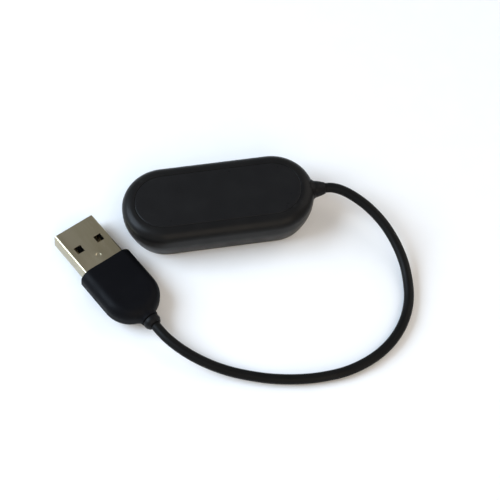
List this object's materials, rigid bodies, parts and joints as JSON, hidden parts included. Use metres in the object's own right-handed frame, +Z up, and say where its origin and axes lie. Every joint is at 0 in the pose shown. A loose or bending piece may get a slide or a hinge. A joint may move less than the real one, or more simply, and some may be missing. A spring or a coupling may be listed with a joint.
{
  "type": "charging cradle",
  "caption": "Pill-shaped charging cradle for a wristband tracker capsule, with sprung contact pins, a short round cable and a USB-A plug.",
  "frame": {"origin": "middle of the cradle on the surface that it lies on, with its open side down; the cable and plug are left out", "axes": "+X along the cradle towards the cable exit, +Z up through its closed back, +Y across it, away from the cable's loop"},
  "size_m": [0.0908, 0.0627, 0.0116],
  "materials": {
    "shell_plastic": "fine satin moulding",
    "cover_plastic": "fine satin moulding",
    "tray_plastic": "satin",
    "grip_plastic": "fine satin moulding",
    "cable_jacket": "soft satin",
    "collar_rubber": "soft satin",
    "nickel_shell": "rolled nickel plate",
    "gold_contact": "thin gold plate",
    "spring_steel": "drawn wire",
    "solder_metal": "bright, slightly grainy",
    "board_laminate": "solder resist",
    "chip_body": "ceramic",
    "pale_mould": "natural moulding",
    "carrier_nylon": "glass-filled moulding",
    "red_insulation": "extruded",
    "black_insulation": "extruded"
  },
  "bodies": {
    "cradle": {"outer_shell": "shell_plastic", "back_cover": "cover_plastic", "cradle_tray": "tray_plastic", "contact_board": "board_laminate", "fuse_chip": "chip_body", "filter_chip": "chip_body", "pogo_barrel_left": "gold_contact", "pogo_barrel_right": "gold_contact", "pogo_solder_left": "solder_metal", "pogo_solder_right": "solder_metal", "pogo_spring_left": "spring_steel", "pogo_spring_right": "spring_steel", "dock_lead_red": "red_insulation", "dock_lead_black": "black_insulation", "dock_solder_red": "solder_metal", "dock_solder_black": "solder_metal", "dock_strain_relief": "collar_rubber", "cable": "cable_jacket", "usb_shell": "nickel_shell", "contact_carrier": "carrier_nylon", "usb_contact_1": "gold_contact", "usb_contact_2": "gold_contact", "usb_contact_3": "gold_contact", "usb_contact_4": "gold_contact", "plug_solder_red": "solder_metal", "plug_solder_black": "solder_metal", "plug_lead_red": "red_insulation", "plug_lead_black": "black_insulation", "plug_inner_mould": "pale_mould", "plug_grip": "grip_plastic", "plug_strain_relief": "collar_rubber"},
    "pin_left": {"pogo_plunger_left": "gold_contact"},
    "pin_right": {"pogo_plunger_right": "gold_contact"}
  },
  "joints": [
    {"name": "pin_left_press", "type": "slide", "parent": "cradle", "child": "pin_left", "axis": [0, 0, 1], "range_m": [0, 0.001], "stiffness_N_per_m": 300, "springref_m": -0.0005, "deforming": ["pogo_spring_left"]},
    {"name": "pin_right_press", "type": "slide", "parent": "cradle", "child": "pin_right", "axis": [0, 0, 1], "range_m": [0, 0.001], "stiffness_N_per_m": 300, "springref_m": -0.0005, "deforming": ["pogo_spring_right"]}
  ]
}
